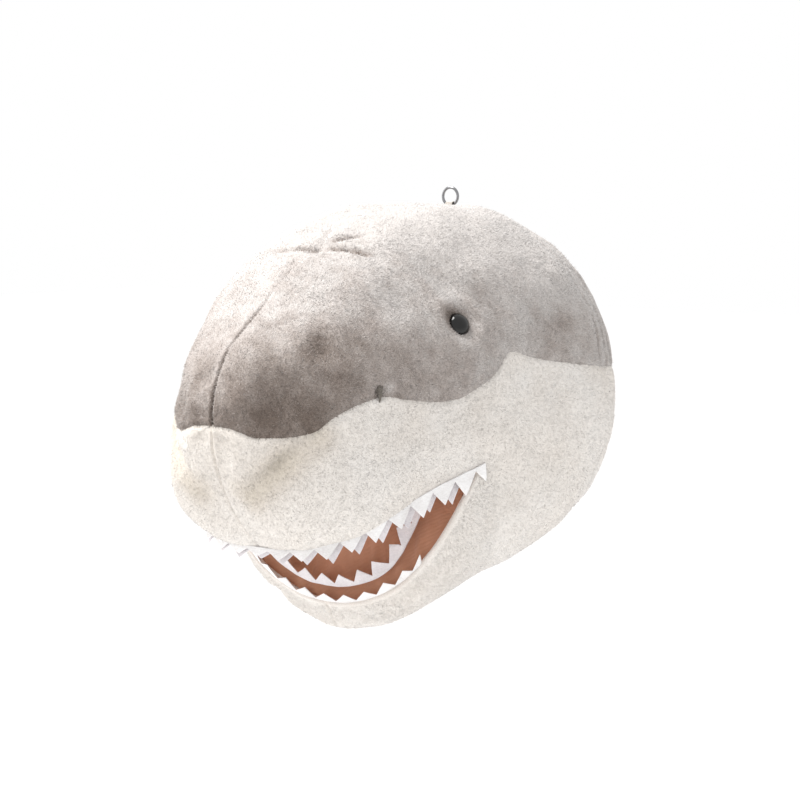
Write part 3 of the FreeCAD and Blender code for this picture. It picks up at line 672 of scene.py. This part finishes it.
def inflate():
    """Cloth simulation of the stuffed skin: mm that it swells at each point of a grid over the head.

    The fabric is sewn down along the seams, the rim, the lips and round the eyes, and filled from inside."""
    u = np.linspace(CLOTH_FIRST, CLOTH_LAST, CLOTH_ROWS)[:, None]
    angle = (np.arange(CLOTH_COLUMNS) * 360.0 / CLOTH_COLUMNS)[None, :]
    angle = np.where(angle > 180, angle - 360, angle)
    co, no = surface(u, angle), surface_normal(u, angle)
    left = np.where(np.abs(angle) > 90, np.sign(angle + 1e-9) * 180 - angle, angle)
    x, y, z = co[..., 0], co[..., 1], co[..., 2]
    seam = np.abs(left - seam_angle(u)) * math.pi / 180 * np.hypot(x, z)
    inside = (y < along(FLOOR_LINE, np.clip(z, -134, -28)) + 7) & (z < along(PALATE_LINE, y) + 5) & (y < -108)
    eye = distance(to_left(co), EYE)
    sewn = (np.abs(x) < SEWN_MIDDLE) | (seam < SEWN_SEAM) | inside | (eye < SEWN_EYE)
    sewn[0], sewn[-1] = True, True
    points = np.concatenate([co.reshape(-1, 3), [[0, co[0, 0, 1], 0], [0, -DEPTH, 0]]])
    i = np.arange(CLOTH_ROWS - 1)[:, None] * CLOTH_COLUMNS
    j = np.arange(CLOTH_COLUMNS)[None, :]
    k = (j + 1) % CLOTH_COLUMNS
    quads = np.stack([i + j, i + k, i + k + CLOTH_COLUMNS, i + j + CLOTH_COLUMNS], -1).reshape(-1, 4)
    rear, tip = len(points) - 2, len(points) - 1
    last = (CLOTH_ROWS - 1) * CLOTH_COLUMNS
    caps = [(rear, int(k[0, n]), int(j[0, n])) for n in range(CLOTH_COLUMNS)]
    caps += [(tip, last + int(j[0, n]), last + int(k[0, n])) for n in range(CLOTH_COLUMNS)]
    mesh = bpy.data.meshes.new("cloth")
    mesh.from_pydata((points * MM).tolist(), [], quads.tolist() + caps)
    obj = placed("cloth", mesh)
    pins = obj.vertex_groups.new(name="sewn")
    pins.add([int(n) for n in np.flatnonzero(sewn.ravel())] + [rear, tip], 1.0, "REPLACE")
    cloth = obj.modifiers.new("cloth", "CLOTH")
    settings = cloth.settings
    settings.vertex_group_mass = "sewn"
    settings.quality = 6
    settings.mass = 0.25
    settings.tension_stiffness = 12
    settings.compression_stiffness = 12
    settings.shear_stiffness = 4
    settings.bending_stiffness = 0.3
    settings.shrink_min = -0.035
    settings.use_pressure = True
    settings.uniform_pressure_force = 4.0
    settings.effector_weights.gravity = 0
    cloth.point_cache.frame_start = 1
    cloth.point_cache.frame_end = CLOTH_FRAMES
    for number in range(1, CLOTH_FRAMES + 1):
        bpy.context.scene.frame_set(number)
    done = obj.evaluated_get(bpy.context.evaluated_depsgraph_get()).to_mesh()
    moved = np.zeros(len(points) * 3, np.float32)
    done.vertices.foreach_get("co", moved)
    moved = moved.reshape(-1, 3)[:co.size // 3].reshape(co.shape) / MM
    bpy.data.objects.remove(obj)
    bpy.context.scene.frame_set(1)
    swell = ((moved - co) * no).sum(-1)
    swell = np.clip(swell, SWELL_LEAST, SWELL_MOST) - UNSEWN_DROP * ~sewn
    for _ in range(2):
        swell = (np.roll(swell, 1, 1) + 2 * swell + np.roll(swell, -1, 1)) / 4
        longer = np.pad(swell, ((1, 1), (0, 0)), mode="edge")
        swell = (longer[:-2] + 2 * swell + longer[2:]) / 4
    return swell


SWELL = inflate()


def cubic_weights(t):
    """Weights of four neighbours for a smooth value at share t between the middle two."""
    return np.stack([-t ** 3 + 2 * t ** 2 - t, 3 * t ** 3 - 5 * t ** 2 + 2, -3 * t ** 3 + 4 * t ** 2 + t,
                     t ** 3 - t ** 2], -1) / 2


def puffed(u, angle, side):
    """Swelling from the cloth simulation at stations u and angles of the left or right half."""
    turn = np.asarray(angle if side > 0 else 180.0 - angle) % 360 / 360 * CLOTH_COLUMNS
    row = np.clip((np.asarray(u) - CLOTH_FIRST) / (CLOTH_LAST - CLOTH_FIRST), 0, 1) * (CLOTH_ROWS - 1)
    i, j = np.floor(row).astype(int), np.floor(turn).astype(int)
    down_weight, over_weight = cubic_weights(row - i), cubic_weights(turn - j)
    total = np.zeros(np.broadcast(row, turn).shape)
    for a in range(4):
        for b in range(4):
            value = SWELL[np.clip(i + a - 1, 0, CLOTH_ROWS - 1), (j + b - 1) % CLOTH_COLUMNS]
            total = total + down_weight[..., a] * over_weight[..., b] * value
    return total


def head_panel(columns, upper, side):
    """Grid of a head panel: grey above the colour seam, white below it."""
    share = np.linspace(0, 1, columns)
    made = []
    for kind, value in ROWS:
        u = value if kind == "side" else 0.0
        first = float(seam_angle(u))
        last = float(top_angle(u, side) if upper else lower_edge(u))
        angle = first + (last - first) * share
        made.append((*row_points(kind, value, angle), angle, np.full(columns, u)))
    co, no, strength, angles, us = (np.array(part) for part in zip(*made))
    gap = arc_gap(co, 0)
    co, no = co * (side, 1, 1), no * (side, 1, 1)
    puff = puffed(us, angles, side)
    tone = shade_of(co, gap) if upper else white_tone(co)
    tone = np.where(strength < 0.5, 0.55, tone)
    co = co + no * ((relief(co, gap, side) + puff) * strength)[..., None]
    lip = np.full(len(ROWS), SEAM_ROLL)
    if not upper:
        for i, (kind, value) in enumerate(ROWS):
            if kind == "side" and U_CORNER <= value <= U_LIP:
                lip[i] = LIP_ROLL
            elif kind == "side" and U_THROAT - 0.01 <= value < U_CORNER:
                lip[i] = FLAT_ROLL
    return co, no, tone, lip


def jaw_panel(rows, columns, side):
    """Grid of a jaw panel, from the line behind the jaw to the lower lip, corner first."""
    top = float(angle_of_height(U_CORNER, np.array(CORNER_Z)))
    angle = top + (-90.0 - top) * np.linspace(0, 1, rows) ** 0.85

    def crossing(line):
        """Stations where the surface crosses a line, given as its depth at each height."""
        def level(u):
            p = surface(u, angle)
            return p[:, 1] - line(p[:, 2])
        return where_crossing(level, np.full(rows, 0.12), np.full(rows, 0.42))

    rear = crossing(behind_jaw)
    front = np.maximum(crossing(lambda z: along(FLOOR_LINE, z)), rear + 1e-4)
    u = rear[:, None] + (front - rear)[:, None] * np.linspace(0, 1, columns)[None, :]
    a = np.broadcast_to(angle[:, None], u.shape)
    co, no = surface(u, a), surface_normal(u, a)
    co, no = co * (side, 1, 1), no * (side, 1, 1)
    gap = np.full(u.shape, 60.0)
    tone = white_tone(co)
    co = co + no * (relief(co, gap, side) + puffed(u, a, side))[..., None]
    return co, no, tone


def panel_object(name, co, no, tone, lip, mat, first=SEAM_ROLL):
    """The panel's mesh, with rolled edges on its two long sides, and the shade painted on its points."""
    roll = rolled(co, no, lip)
    back = rolled(co[:, ::-1], no[:, ::-1], np.full(len(co), first))[:, ::-1]
    full = np.concatenate([back, co, roll], 1)
    spread = [back.shape[1], roll.shape[1]]
    normals = np.pad(no, ((0, 0), spread, (0, 0)), mode="edge")
    tones = np.pad(tone, ((0, 0), spread), mode="edge")
    obj = grid_object(name, full, normals, [mat])
    mark = obj.data.attributes.new("shade", "FLOAT", "POINT")
    mark.data.foreach_set("value", np.clip(tones, 0, 1).astype(np.float32).ravel())
    return obj


NAP_SPREAD, ROOT_DEPTH = 0.55, 0.35     # how far fibres stray, and mm from the skin down to their foot


def pile(name, co, outward, tone, mats, count, length, seed, mottle, lean=0.75):
    """Short tapering fibres all over a grid, leaning back along the nap."""
    random = np.random.default_rng(seed)
    a, b = co[:-1, :-1], co[:-1, 1:]
    c, d = co[1:, 1:], co[1:, :-1]
    normal = unit(np.cross(c - a, d - b))
    facing = (normal * outward[:-1, :-1]).sum(-1, keepdims=True)
    normal = normal * np.sign(np.where(facing == 0, 1, facing))
    area = np.linalg.norm(np.cross(c - a, d - b), axis=-1) / 2
    chance = area.ravel() / area.sum()
    cell = random.choice(len(chance), count, p=chance)
    i, j = np.unravel_index(cell, area.shape)
    s, t = random.uniform(size=(2, count, 1))
    root = (1 - s) * ((1 - t) * a[i, j] + t * b[i, j]) + s * ((1 - t) * d[i, j] + t * c[i, j])
    up = normal[i, j]
    nap = np.array([0.0, 1.0, -0.35]) + random.normal(0, NAP_SPREAD, (count, 3))
    nap = nap + 0.25 * np.stack([waves(root, 30, seed + k, 12) for k in range(3)], -1)
    nap = unit(nap - (nap * up).sum(-1, keepdims=True) * up)
    way = unit(up * (1 - lean * 0.55) + nap * lean)
    across = unit(np.cross(way, up))
    long = length * random.uniform(0.65, 1.25, (count, 1))
    wide = random.uniform(0.16, 0.27, (count, 1))
    foot = root - up * ROOT_DEPTH
    third = unit(np.cross(across, way))
    points = np.stack([foot + across * wide, foot - across * wide, foot + third * wide * 1.2,
                       foot + way * long], 1)
    base = np.arange(count)[:, None] * 4
    faces = np.concatenate([base + f for f in ([0, 1, 3], [1, 2, 3], [2, 0, 3], [0, 2, 1])])
    # Each fibre takes its shade from the tone, which holds painted light and shade, plus random mottling.
    value = tone[:-1, :-1][i, j] * (len(mats) - 1) + random.normal(0, mottle, count)
    index = np.clip(np.round(value), 0, len(mats) - 1)
    obj = mesh_object(name, points, faces, mats, np.tile(index, 4))
    ruffled = np.repeat(up, 4, axis=0) + 0.35 * np.repeat(random.normal(0, 1, (count, 3)), 4, axis=0)
    obj.data.normals_split_custom_set_from_vertices(unit(ruffled))
    return obj


def name_finish(stands_for):
    if stands_for:
        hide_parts(*stands_for)


def ride(obj, body, slot, *stands_for):
    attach(obj, body)
    name_finish(stands_for)


def bend_with_jaw(obj, slot, *stands_for):
    """A piece of the jaw: its placement is applied to its mesh, and the CAD pieces it stands for are hidden.
    """
    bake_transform(obj)
    name_finish(stands_for)


GREY_FIBRES, WHITE_FIBRES, JAW_FIBRES = 48000, 44000, 19000     # on each half of the head
GREY_NAP, WHITE_NAP = 1.9, 1.5              # mm that the pile is long
GREY_MOTTLE, WHITE_MOTTLE = 0.6, 0.22       # spread of the pile's shades

for word, side in (("left", 1), ("right", -1)):
    co, no, tone, lip = head_panel(PANEL_COLUMNS, True, side)
    obj = panel_object("grey_plush_" + word, co, no, tone, lip, GREY)
    ride(obj, "head", "grey_plush", "grey_skin_" + word, "eye_washer_" + word)
    keep = slice(HEM_ROWS + RIM_ROWS, None)
    fur = pile("grey_pile_" + word, co[keep], no[keep], tone[keep], GREY_PILE, GREY_FIBRES,
               GREY_NAP, 100 + side, GREY_MOTTLE)
    ride(fur, "head", "grey_plush")

    co, no, tone, lip = head_panel(PANEL_COLUMNS, False, side)
    obj = panel_object("white_plush_" + word, co, no, tone, lip, WHITE)
    stands = ["white_skin_" + word] + (["head_stuffing"] if side > 0 else [])
    ride(obj, "head", "white_plush", *stands)
    fur = pile("white_pile_" + word, co[keep], no[keep], tone[keep], WHITE_PILE, WHITE_FIBRES,
               WHITE_NAP, 200 + side, WHITE_MOTTLE)
    ride(fur, "head", "white_plush")

    co, no, tone = jaw_panel(JAW_ROWS, JAW_COLUMNS, side)
    roll = np.full(len(co), LIP_ROLL)
    obj = panel_object("jaw_plush_" + word, co, no, tone, roll, WHITE, FLAT_ROLL)
    stands = ["jaw_skin_" + word] + (["jaw_stuffing"] if side > 0 else [])
    bend_with_jaw(obj, "white_plush", *stands)
    fur = pile("jaw_pile_" + word, co, no, tone, WHITE_PILE, JAW_FIBRES,
               WHITE_NAP, 300 + side, WHITE_MOTTLE)
    bend_with_jaw(fur, "white_plush")

# --- lining of the mouth ---

def half_width_at(y, z):
    """Half width of the head at height z, below its widest line, in the section at y."""
    u = station(y)
    middle = along(WIDEST, u)
    ratio = np.clip((middle - z) / (middle - along(BOTTOM, u)), 0, 1)
    power = along(LOWER_POWER, u)
    return along(HALF_WIDTH, u) * (1 - ratio ** power) ** (1 / power)


LINING_STEP = 1.3     # mm from the mouth's lines to the face of the lining


def lining(y, z, face, vault, fold, seed, columns=81):
    """Sheet across the mouth along the line y, z from its rear, vaulted and folded along the axis face.

    At the rear, where palate and floor are sewn together, it is level and ends on their shared line."""
    shares = np.linspace(0, 1, len(y))
    half = np.maximum(half_width_at(y, z) - 1.0, 0.2)
    s = np.linspace(-1, 1, columns)
    co = np.stack(np.broadcast_arrays(half[:, None] * s, y[:, None], z[:, None]), -1)
    co[..., face] = co[..., face] + LINING_STEP + vault(shares, half / half.max())[:, None] * (1 - s ** 2)
    stretch = np.array([1, 0.4, 1] if face == 2 else [1, 1, 0.4])
    folds = fold * waves(co, 26, seed) * (1 - s ** 8) + 0.25 * waves(co * stretch, 9, seed + 1)
    sewn = (1 - smooth(shares, 0, 0.08))[:, None]
    co[..., face] += folds * (1 - sewn)
    co[..., 3 - face] += LINING_STEP * sewn
    return co


y = CORNER_Y + (depth_at(U_LIP) - CORNER_Y) * np.linspace(0, 1, 70)
co = lining(y, along(PALATE_LINE, y), 2, lambda share, width: 6.0 * (smooth(share, 0, 0.35) * width), 0.5, 41)
obj = grid_object("palate_lining_cloth", co, np.broadcast_to([0.0, -0.3, -1.0], co.shape), [MOUTH])
ride(obj, "head", "mouth_fabric", "palate_lining")
z = CORNER_Z + (LIP_HEIGHT - CORNER_Z) * np.linspace(0, 1, 80)
co = lining(along(FLOOR_LINE, z), z, 1,
            lambda share, width: 5.0 * np.sin(np.linspace(0, math.pi, len(share))) ** 0.8, 0.4, 43)
obj = grid_object("mouth_floor_cloth", co, np.broadcast_to([0.0, -1.0, 0.2], co.shape), [MOUTH])
bend_with_jaw(obj, "mouth_fabric", "mouth_floor_lining")

# --- felt teeth ---

PITCH = 15.0


def lip_half(points, skip):
    """A lip's points on the left half from the middle of the face to skip mm before the mouth's corner."""
    y, z = points[:, 0], points[:, 1]
    line = np.stack([half_width_at(y, z), y, z], -1)
    line[-1, 0] = 0.0
    line = line[::-1]
    gap = np.linalg.norm(line - line[-1], axis=1)
    return line[gap > skip]


def palate_points():
    y = np.linspace(CORNER_Y, float(depth_at(U_LIP)), 400)
    return np.stack([y, along(PALATE_LINE, y)], -1)


def floor_points():
    z = np.linspace(CORNER_Z, LIP_HEIGHT, 400)
    return np.stack([along(FLOOR_LINE, z), z], -1)


def resampled(line, step):
    """The line at even steps, step of them in each half pitch of the teeth."""
    lengths = np.concatenate([[0], np.cumsum(np.linalg.norm(np.diff(line, axis=0), axis=1))])
    halves = max(1, round(lengths[-1] / (PITCH / 2)))
    places = np.linspace(0, lengths[-1], halves * step + 1)
    return np.stack([np.interp(places, lengths, line[:, k]) for k in range(3)], -1)


def tooth_strip(name, line, hang, height, band, facing, seed, mat, step=8, rows=9, thick=0.95):
    """Felt strip cut in a zigzag, on both halves of the face, sewn along the line."""
    random = np.random.default_rng(seed)
    half = resampled(line, step)
    full = np.concatenate([half[:0:-1] * np.array([-1, 1, 1]), half])
    place = (np.arange(len(full)) - (len(half) - 1)) / step      # half pitches from the middle
    saw = 1 - np.abs((place + 1) % 2 - 1)      # 1 at the tips
    tooth = np.floor((place + 1) / 2).astype(int)
    number = tooth.max() - tooth.min() + 1
    bend = random.normal(0, 0.9, number + 1)[tooth - tooth.min()]
    tall = random.normal(1.0, 0.06, number + 1)[tooth - tooth.min()]
    high = band + (height(full) - band) * saw * tall
    way = unit(hang(full))
    out = unit(facing(full))
    t = np.linspace(0, 1, rows)
    co = full[:, None, :] + way[:, None, :] * (high[:, None] * t)[..., None]
    curl = (0.25 + 0.9 * bend[:, None] * saw[:, None]) * t ** 2 + 0.15 * waves(co, 12, seed + 1)
    co = co + out[:, None, :] * curl[..., None]
    soft_edge = np.where(t > 0.97, 0.55, 1.0)[None, :, None] * thick / 2
    front = co + out[:, None, :] * soft_edge
    rear = co - out[:, None, :] * soft_edge
    n, m = co.shape[:2]
    down, over = np.arange(n - 1) * m, np.arange(m - 1)

    def border(start, step, order):
        """Faces that join front and rear along one edge of the strip."""
        corners = [start, start + n * m, start + n * m + step, start + step]
        return np.stack([corners[k] for k in order], -1)

    faces = np.concatenate([
        grid_faces(n, m), grid_faces(n, m, n * m)[:, ::-1],
        border(down + m - 1, m, (0, 1, 2, 3)), border(down, m, (0, 3, 2, 1)),
        border(over, 1, (0, 1, 2, 3)), border(over + (n - 1) * m, 1, (0, 3, 2, 1))])
    points = np.concatenate([front.reshape(-1, 3), rear.reshape(-1, 3)])
    obj = mesh_object(name, points, faces, [mat])
    split = obj.modifiers.new("edges", "EDGE_SPLIT")
    split.split_angle = math.radians(50)
    bpy.context.view_layer.update()
    made = bpy.data.meshes.new_from_object(obj.evaluated_get(bpy.context.evaluated_depsgraph_get()))
    obj.modifiers.clear()
    obj.data = made
    return obj


def moved_in(line, distance, lift):
    """Line moved level towards the inside of the head, and up by lift."""
    run = np.gradient(line, axis=0)
    inward = unit(np.stack([run[:, 1], -run[:, 0], np.zeros(len(line))], -1))
    facing = (inward * np.stack([-line[:, 0], np.full(len(line), 60.0), np.zeros(len(line))], -1)).sum(-1)
    inward = inward * np.sign(facing)[:, None]
    moved = line + inward * distance + np.array([0, 0, lift])
    moved[0, 0] = 0.0
    return moved


def outward(p):
    return np.stack([p[:, 0], 0.55 * (p[:, 1] + 95.0), np.zeros(len(p))], -1)


def down(p):
    return np.tile([0.0, 0.0, -1.0], (len(p), 1)) + 0.12 * unit(outward(p))


def even_height(tall):
    return lambda p: np.full(len(p), tall)


def upper_height(front, rear):
    """Height of the teeth, from that at the nose to that at the mouth's corner."""
    return lambda p: front + (rear - front) * np.minimum(np.abs(p[:, 0]) / 70.0, 1.0)


def inner_inset(z):
    """How far the inner row stands from the lip at height z."""
    return 11.0 + 10.0 * smooth(z, -110, -65)


def floor_row(inset, proud, highest):
    """Line on the jaw's lining, inset from the lip and proud of it, up to the highest height."""
    edge = lip_half(floor_points(), 8.0)
    run = np.gradient(edge, axis=0)
    inward = unit(np.stack([-run[:, 2], np.zeros(len(edge)), run[:, 0]], -1))
    if callable(inset):
        inset = inset(edge[:, 2])[:, None]
    spot = edge + inward * inset
    spot[:, 0] = np.maximum(spot[:, 0], 0)
    spot[:, 1] = along(FLOOR_LINE, spot[:, 2]) - proud
    spot[0, 0] = 0.0
    return spot[spot[:, 2] < highest]


def always(*way):
    return lambda p: np.tile(way, (len(p), 1))


def along_floor(p):
    return np.stack([-p[:, 0] / 75.0, np.full(len(p), -0.55), np.where(p[:, 2] < -80, 1.0, 0.6)], -1)


upper = palate_points()
strip = tooth_strip("upper_teeth_row_outer", moved_in(lip_half(upper, 1.5), -0.2, 0.8), down,
                    upper_height(4.8, 11.5), 1.6, outward, 51, TOOTH)
ride(strip, "head", "tooth_felt", "upper_teeth_outer")
strip = tooth_strip("upper_teeth_row_inner", moved_in(lip_half(upper, 16.0), 3.2, 0.6), down,
                    upper_height(7.0, 14.5), 2.6, outward, 52, TOOTH_SHADED)
ride(strip, "head", "tooth_felt", "upper_teeth_inner")
strip = tooth_strip("lower_teeth_row_outer", floor_row(1.6, 1.0, -86.0), always(0.0, -0.35, 0.94),
                    even_height(5.8), 1.0, always(0.0, -1.0, 0.0), 53, TOOTH)
bend_with_jaw(strip, "tooth_felt", "lower_teeth_outer")
strip = tooth_strip("lower_teeth_row_inner", floor_row(inner_inset, 1.2, -46.0), along_floor,
                    even_height(9.5), 2.6, always(0.0, -1.0, 0.0), 54, TOOTH_SHADED)
bend_with_jaw(strip, "tooth_felt", "lower_teeth_inner")

# --- nostril stitches ---

def strands(name, lines, radius, mats):
    """Round threads along lines of points."""
    sides = 6
    points, faces = [], []
    for line in lines:
        line = np.array(line, float)
        run = unit(np.gradient(line, axis=0))
        a = unit(np.cross(run, np.array([0.3, 0.2, 0.93])))
        b = np.cross(run, a)
        start = len(points)
        taper = np.sqrt(np.sin(np.linspace(0.12, 0.88, len(line)) * math.pi))
        for k in range(len(line)):
            for turn in np.arange(sides) * 2 * math.pi / sides:
                points.append(line[k] + radius * taper[k] * (math.cos(turn) * a[k] + math.sin(turn) * b[k]))
        for k in range(len(line) - 1):
            for m in range(sides):
                n = (m + 1) % sides
                p = start + k * sides
                faces.append((p + m, p + n, p + sides + n, p + sides + m))
    return mesh_object(name, points, faces, mats)


for word, side in (("left", 1), ("right", -1)):
    random = np.random.default_rng(70 + side)
    flip = np.array([side, 1, 1])
    normal = surface_normal(NOSTRIL_U, NOSTRIL_ANGLE) * flip
    centre = NOSTRIL * flip
    upward = unit(np.array([0.0, 0.15, 1.0]) - normal * normal[2])
    across = np.cross(upward, normal)
    lines = []
    for i in range(12):
        lean = random.uniform(-2.6, 2.6)
        high = random.uniform(3.0, 5.2)
        low = random.uniform(2.5, 8.5)
        t = np.linspace(-1, 1, 13)
        line = (centre + upward * np.where(t > 0, t * high, t * low)[:, None]
                + across * (lean * (0.5 + 0.5 * t) * 0.8)[:, None]
                + normal * (0.1 + 1.1 * (1 - t ** 2) + 0.25 * random.uniform())[:, None])
        lines.append(line)
    for i in range(4):
        t = np.linspace(-1, 1, 9)
        line = (centre + across * (t * 2.2)[:, None] + upward * (random.uniform(-1.0, 1.6) + 0.4 * t)[:, None]
                + normal * (0.3 + 1.3 * (1 - t ** 2))[:, None])
        lines.append(line)
    obj = strands("nostril_threads_" + word, lines, 0.42, [THREAD])
    ride(obj, "head", "grey_thread", "nostril_stitch_" + word)

# --- finishes of the CAD pieces that stay ---

FINISHES = {"back_felt": BACK_FELT, "backing_board": fibreboard(), "hem_staples": STEEL,
            "tape_staples": STEEL, "hanger_tape": tape_weave(), "eye_left": eye_plastic(),
            "hanging_ring": CHROME}
FINISHES["eye_right"] = FINISHES["eye_left"]
for node, mat in FINISHES.items():
    obj = NODES[node]
    if not obj.material_slots:
        obj.data.materials.append(mat)
    for held in obj.material_slots:
        held.material = mat

# --- floor, light and camera ---

AIM = (0, -0.1, 0.0)      # metres, in the middle of the head


def area_light(name, place, width, power, tint):
    """Round soft light at place, in metres, that looks at the head."""
    data = bpy.data.lights.new(name, "AREA")
    data.shape = "DISK"
    data.size = width
    data.energy = power
    data.color = tint
    obj = placed(name, data)
    obj.location = place
    obj.rotation_euler = (Vector(AIM) - Vector(place)).to_track_quat("-Z", "Y").to_euler()


s = Shader("pale_floor", 0.9, Emission_Color=(1, 1, 1, 1), Emission_Strength=0.09)
pale = s.ramp(s.noise(4.0, 2), [(0.3, colour(246, 245, 244)), (0.7, colour(250, 250, 250))])
s.feed(s.bsdf, Base_Color=pale)
FLOOR_HEIGHT, FLOOR_REACH = -620, 9000
corners = [(i * FLOOR_REACH, j * FLOOR_REACH, FLOOR_HEIGHT) for i, j in ((-1, -1), (1, -1), (1, 1), (-1, 1))]
floor = mesh_object("floor", corners, [(0, 1, 2, 3)], [s.mat])

world = bpy.data.worlds.new("studio")
bpy.context.scene.world = world
world.use_nodes = True
sky = world.node_tree.nodes["Background"].inputs
sky["Color"].default_value = (1.0, 1.0, 1.0, 1)
sky["Strength"].default_value = 1.0
area_light("key", place=(-0.55, -0.5, 1.25), width=0.9, power=31.0, tint=(1.0, 0.99, 0.975))
area_light("side", place=(-1.3, -0.7, 0.35), width=0.8, power=4.0, tint=(1.0, 0.99, 0.98))
bpy.context.scene.view_settings.view_transform = "Standard"

AZIMUTH, ELEVATION = math.radians(35), math.radians(7)
DISTANCE, LEFT_OF_MIDDLE, BELOW_MIDDLE = 1.0833, 0.0338, 0.0104      # metres, of the camera
back = Vector((math.sin(AZIMUTH) * math.cos(ELEVATION), -math.cos(AZIMUTH) * math.cos(ELEVATION),
               math.sin(ELEVATION)))
right = Vector((math.cos(AZIMUTH), math.sin(AZIMUTH), 0))
upward = back.cross(right)
camera = bpy.data.cameras.new("camera")
camera.lens = 75
camera.sensor_width = 36
obj = placed("camera", camera)
obj.location = back * DISTANCE - right * LEFT_OF_MIDDLE - upward * BELOW_MIDDLE
obj.rotation_euler = (-back).to_track_quat("-Z", "Y").to_euler()
bpy.context.scene.camera = obj
